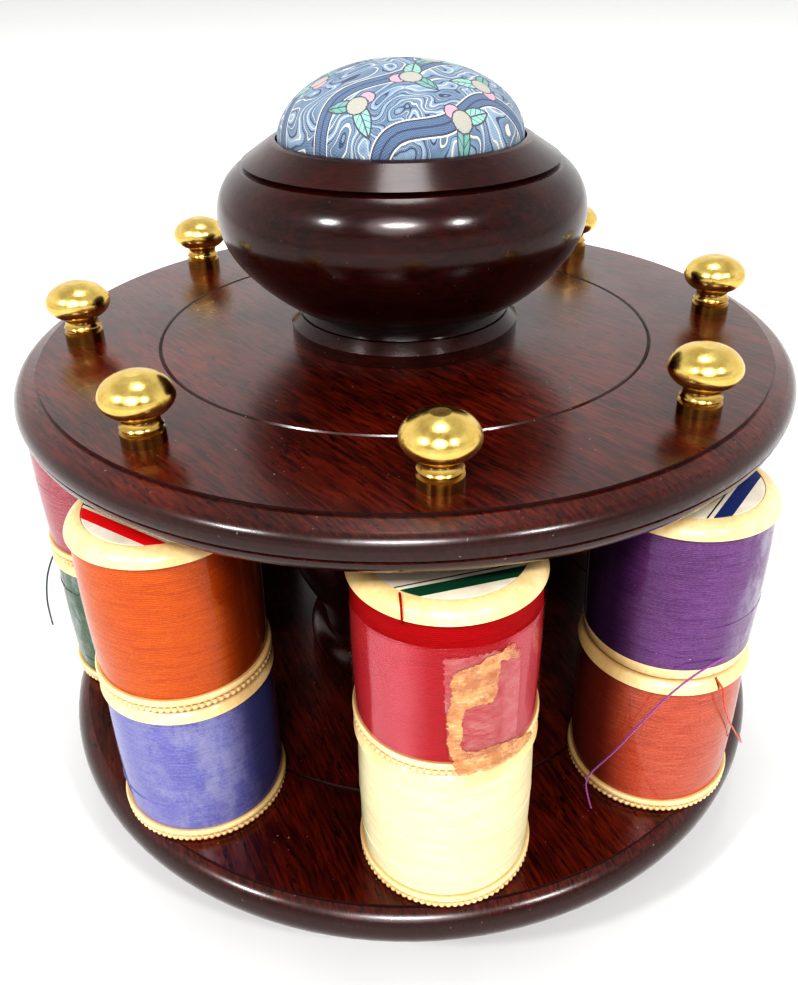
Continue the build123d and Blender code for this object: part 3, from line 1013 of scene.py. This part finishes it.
CAUGHT_OFFSET = 7.7
CAUGHT_RADIUS = 0.16 * MM
caught = [
    on_reel(1, "upper", -math.degrees(math.asin(CAUGHT_OFFSET / radius)), height, radius)
    for height, radius in (
        (31.30, 12.6),
        (31.46, 12.9),
        (31.38, 13.6),
        (31.0, 14.5),
        (30.3, 15.05),
        (29.4, 15.28),
        (28.8, 15.25),
        (28.4, 14.9),
        (28.0, 14.7),
    )
]
piece(
    "caught_end_1_upper",
    *tube(caught, CAUGHT_RADIUS),
    thread_looks[1, "upper"],
    "reel_1_upper",
    "thread_crimson",
)


# --- Clear sleeve and tape remains on the front reel ---

SLEEVE_TOP = 24.9
SLEEVE_BOTTOM = 2.9
SLEEVE_RADIUS = 14.98
SLEEVE_THICKNESS = 0.03


def sleeve():
    """Slack film round the winding, slightly crumpled towards its lower edge."""
    seat = reel_seat(1, "upper")
    rows = 24

    def shell(row, thickness):
        share = row / (rows - 1)

        def place(angle):
            crumple = 0.05 * math.sin(7 * angle + 9 * share) * (1 - share)
            crumple += 0.03 * math.sin(17 * angle - 6 * share)
            radius = SLEEVE_RADIUS + crumple + thickness
            edge = 0.12 * math.sin(3 * angle + 1) + 0.05 * math.sin(11 * angle)
            height = SLEEVE_BOTTOM + (SLEEVE_TOP - SLEEVE_BOTTOM + edge) * share
            return radius * MM, height * MM

        return place

    outline = [shell(row, SLEEVE_THICKNESS) for row in range(rows)]
    outline += [shell(row, 0.0) for row in reversed(range(rows))]
    vertices, faces = revolved(seat, 180, outline)
    piece("sleeve_1_upper", vertices, faces, clear_film(), "reel_1_upper", "clear_wrap")


sleeve()

# Torn outline of the tape, as angle in degrees and height in millimetres
TAPE_OUTLINE = [
    (33, 23.4), (28, 23.6), (24.5, 23.0), (15, 22.8), (11.6, 22.0), (3, 21.4), (-3.3, 20.5), (-5.2, 18.6),
    (-4.0, 17.2), (-4.8, 14.7), (-7.0, 12.2), (-5.6, 9.2), (-6.9, 7.7), (-4.4, 4.7), (-2.2, 2.2), (0, 0.6),
    (8.4, 0.5), (19.4, 0.4), (33, 0.5), (47, 0.6), (56, 0.9), (52.6, 2.4), (36, 4.2), (22.5, 5.2),
    (13.3, 5.0), (3.8, 5.4), (1.3, 6.8), (3.6, 9.0), (1.9, 11.1), (4.1, 13.6), (11.6, 14.1), (19.4, 13.9),
    (22.4, 15.5), (22.9, 18.2), (23.8, 21.4), (35.8, 20.3), (36.8, 21.0), (33.8, 21.7),
]
TAPE_THICKNESS = 0.07
FILM_RADIUS = 15.05
OVER_SLEEVE_RADIUS = 15.16
OVER_FLANGE_RADIUS = 15.28


def tape(name, material, outline, cell, radius_at):
    """Patch of tape bent round the reel, cut to a torn outline, as a closed thin solid."""
    inside = []
    low_a, high_a = min(p[0] for p in outline), max(p[0] for p in outline)
    low_h, high_h = min(p[1] for p in outline), max(p[1] for p in outline)
    across = int((high_a - low_a) / cell[0]) + 1
    upward = int((high_h - low_h) / cell[1]) + 1
    jag = random.Random(3)

    def holds(a, h):
        hit = False
        for (a0, h0), (a1, h1) in zip(outline, outline[1:] + outline[:1]):
            if (h0 > h) != (h1 > h) and a < (a1 - a0) * (h - h0) / (h1 - h0) + a0:
                hit = not hit
        return hit

    for row in range(upward):
        for column in range(across):
            a = low_a + (column + 0.5) * cell[0]
            h = low_h + (row + 0.5) * cell[1]
            if holds(a + jag.uniform(-0.6, 0.6), h + jag.uniform(-0.15, 0.15)):
                inside.append((column, row))
    mesh = bmesh.new()
    corners = {}

    def corner(column, row):
        if (column, row) not in corners:
            a, h = low_a + column * cell[0], low_h + row * cell[1]
            ripple = 0.03 * math.sin(1.9 * a + 2 * h) + 0.02 * math.sin(5 * h)
            corners[column, row] = mesh.verts.new(on_reel(1, "upper", a, h, radius_at(h) + ripple))
        return corners[column, row]

    for column, row in inside:
        mesh.faces.new((
            corner(column, row),
            corner(column + 1, row),
            corner(column + 1, row + 1),
            corner(column, row + 1),
        ))
    loose = [v for v in mesh.verts if not v.link_faces]
    bmesh.ops.delete(mesh, geom=loose, context="VERTS")
    rim = [v for v in mesh.verts if v.is_boundary]
    for _ in range(2):
        bmesh.ops.smooth_vert(mesh, verts=rim, factor=0.5, use_axis_x=True, use_axis_y=True, use_axis_z=True)
    data = bpy.data.meshes.new(name)
    mesh.to_mesh(data)
    mesh.free()
    data.materials.append(material)
    data.polygons.foreach_set("use_smooth", [True] * len(data.polygons))
    made = bpy.data.objects.new(name, data)
    bpy.context.scene.collection.objects.link(made)
    solid = made.modifiers.new("thickness", "SOLIDIFY")
    solid.thickness = TAPE_THICKNESS * MM
    solid.offset = 1
    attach(made, "reel_1_upper")


def over_flange(height):
    """Radius just outside the sleeve, and outside the flange below it."""
    blend = min(1, max(0, (height - 2.3) / 0.9))
    return OVER_FLANGE_RADIUS * (1 - blend) + OVER_SLEEVE_RADIUS * blend


FILM_OUTLINE = [
    (-9.0, 23.4), (8, 23.6), (22, 23.4), (31, 22.2), (38, 21.8), (39, 14), (38.4, 6),
    (40, 3.2), (28, 3.0), (10, 3.1), (-4.5, 3.4), (-6.5, 9.0), (-8.0, 15),
]
tape("tape_film_1_upper", tape_film(), FILM_OUTLINE, (1.2, 0.35), lambda height: FILM_RADIUS)
tape("tape_remains_1_upper", tape_remains(), TAPE_OUTLINE, (0.9, 0.25), over_flange)


# --- Pincushion: stuffed cotton dome ---

CUSHION_STEPS = 20
CUSHION_VOXEL = 0.9 * MM
CUSHION_SWELL = 0.25 * MM


def cushion():
    """Crowned and slightly lumpy dome, a little inside its CAD solid, tucked into the bowl's mouth."""
    low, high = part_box("pincushion")
    radius = (high.x - low.x) / 2
    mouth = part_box("bowl")[1].z
    edge = mouth - 0.3 * MM
    rise = high.z - edge
    rows, around = 26, 120
    vertices = [Vector((0, 0, high.z - 0.1 * MM))]
    for row in range(1, rows + 1):
        turn = math.pi / 2 * (1 - row / rows)
        for step in range(around):
            angle = 2 * math.pi * step / around
            lump = (0.10 * math.sin(3 * angle + 0.7) + 0.06 * math.sin(5 * angle + 2)) * math.sin(2 * turn)
            gather = 0.10 * math.cos(24 * angle + 2 * math.sin(3 * angle)) * math.cos(turn) ** 10
            reach = (radius - 0.25 * MM) * math.cos(turn) + (lump + gather) * MM
            height = edge + (rise - 0.1 * MM) * math.sin(turn) + lump * 0.6 * MM
            vertices.append(Vector((reach * math.cos(angle), reach * math.sin(angle), height)))
    for drop in (1.2, 2.4, 3.6, 4.8):
        for step in range(around):
            angle = 2 * math.pi * step / around
            reach = radius - (0.25 + 0.05 * drop) * MM
            vertices.append(Vector((reach * math.cos(angle), reach * math.sin(angle), edge - drop * MM)))
    faces = [(0, 1 + step, 1 + (step + 1) % around) for step in range(around)]
    rings = rows + 4
    for row in range(rings - 1):
        for step in range(around):
            following = (step + 1) % around
            here, there = 1 + row * around, 1 + (row + 1) * around
            faces.append((here + step, there + step, there + following, here + following))
    faces.append(tuple(1 + (rings - 1) * around + step for step in reversed(range(around))))
    mesh = bpy.data.meshes.new("pincushion_dome")
    mesh.from_pydata([tuple(v) for v in vertices], [], faces)
    mesh.update()
    dome = bpy.data.objects.new("pincushion_dome", mesh)
    bpy.context.scene.collection.objects.link(dome)
    mesh.materials.append(printed_cotton(high.z))
    blow_up(dome, edge)
    mesh = dome.data
    mesh.polygons.foreach_set("use_smooth", [True] * len(mesh.polygons))
    fine = dome.modifiers.new("fine", "SUBSURF")
    fine.levels = fine.render_levels = 1
    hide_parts("pincushion")
    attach(dome, "carousel")


def blow_up(dome, edge):
    """Voxel remesh, then cloth under pressure, its tucked-in part pinned and every move capped.

    The cloth moves a piece this small by 0.001 mm at most, so the form is that of cushion().
    """
    scene = bpy.context.scene
    bpy.context.view_layer.objects.active = dome
    dome.select_set(True)
    remesh = dome.modifiers.new("remesh", "REMESH")
    remesh.mode = "VOXEL"
    remesh.voxel_size = CUSHION_VOXEL
    bpy.ops.object.modifier_apply(modifier="remesh")
    start = [v.co.copy() for v in dome.data.vertices]
    held = dome.vertex_groups.new(name="held")
    held.add([v.index for v in dome.data.vertices if v.co.z < edge + 0.2 * MM], 1.0, "REPLACE")
    cloth = dome.modifiers.new("cloth", "CLOTH")
    cloth.settings.quality = 6
    cloth.settings.vertex_group_mass = "held"
    cloth.settings.use_pressure = True
    cloth.settings.uniform_pressure_force = 4
    cloth.settings.effector_weights.gravity = 0
    cloth.collision_settings.use_collision = False
    cloth.point_cache.frame_start = 1
    cloth.point_cache.frame_end = CUSHION_STEPS
    for step in range(1, CUSHION_STEPS + 1):
        scene.frame_set(step)
    blown = dome.evaluated_get(bpy.context.evaluated_depsgraph_get())
    final = [v.co.copy() for v in blown.data.vertices]
    dome.modifiers.remove(cloth)
    for vertex, before, after in zip(dome.data.vertices, start, final):
        move = after - before
        vertex.co = before + move * min(1, CUSHION_SWELL / max(move.length, 1e-9))
    scene.frame_set(1)
    dome.data.update()


cushion()


# --- Floor, lights and backdrop ---

floor_mesh = bpy.data.meshes.new("floor")
half = 6.0  # metres from the middle to an edge
floor_mesh.from_pydata(
    [(-half, -half, 0), (half, -half, 0), (half, half, 0), (-half, half, 0)],
    [],
    [(0, 1, 2, 3)],
)
floor_mesh.materials.append(floor_white())
floor = bpy.data.objects.new("floor", floor_mesh)
bpy.context.scene.collection.objects.link(floor)


def soft_light(name, place, target, size, power, size_y=None):
    """Area light aimed at a point."""
    data = bpy.data.lights.new(name, "AREA")
    data.energy = power
    data.shape = "ELLIPSE"
    data.size = size
    data.size_y = size_y or size
    light = bpy.data.objects.new(name, data)
    light.location = place
    aim = Vector(target) - Vector(place)
    light.rotation_euler = aim.to_track_quat("-Z", "Y").to_euler()
    bpy.context.scene.collection.objects.link(light)


soft_light("light_front_left", (-1.20, -0.76, 1.32), (0, 0, 0.08), 0.19, 14)
soft_light("light_front", (-0.16, -1.34, 1.44), (0, 0, 0.08), 0.54, 22, size_y=0.19)
soft_light("light_front_right", (0.82, -1.12, 1.34), (0, 0, 0.08), 0.18, 12)
soft_light("light_top", (0.03, 0.20, 1.50), (0, 0, 0.10), 0.42, 5)

key_data = bpy.data.lights.new("key", "SUN")
key_data.energy = 1.0
key_data.angle = math.radians(32)
key = bpy.data.objects.new("key", key_data)
key.rotation_euler = Vector((0.12, 0.75, -0.72)).to_track_quat("-Z", "Y").to_euler()
bpy.context.scene.collection.objects.link(key)


def surroundings():
    """White near the horizon, dimmer overhead and high up on the camera's side of the room."""
    world = bpy.data.worlds.new("world")
    world.use_nodes = True
    tree = world.node_tree
    backdrop = tree.nodes["Background"]
    direction = tree.nodes.new("ShaderNodeSeparateXYZ")
    tree.links.new(tree.nodes.new("ShaderNodeTexCoord").outputs["Generated"], direction.inputs[0])

    def fade(source, numbers):
        made = tree.nodes.new("ShaderNodeMapRange")
        made.interpolation_type = "SMOOTHSTEP"
        tree.links.new(source, made.inputs[0])
        for socket, number in zip(made.inputs[1:], numbers):
            socket.default_value = number
        return made.outputs[0]

    def joined_by(operation, first, second):
        made = tree.nodes.new("ShaderNodeMath")
        made.operation = operation
        tree.links.new(first, made.inputs[0])
        tree.links.new(second, made.inputs[1])
        return made.outputs[0]

    overhead = fade(direction.outputs[2], (0.45, 0.85, 1.15, 0.70))
    camera_side = fade(direction.outputs[1], (-0.80, -0.10, 0.15, 1.0))
    near_floor = fade(direction.outputs[2], (0.22, 0.50, 1.0, 0.0))
    strength = joined_by("MULTIPLY", overhead, joined_by("MAXIMUM", camera_side, near_floor))
    tree.links.new(strength, backdrop.inputs["Strength"])
    backdrop.inputs["Color"].default_value = (1, 1, 1, 1)
    return world


bpy.context.scene.world = surroundings()
bpy.context.scene.view_settings.view_transform = "Standard"
bpy.context.scene.view_settings.look = "High Contrast"
bpy.context.scene.view_settings.exposure = -0.58
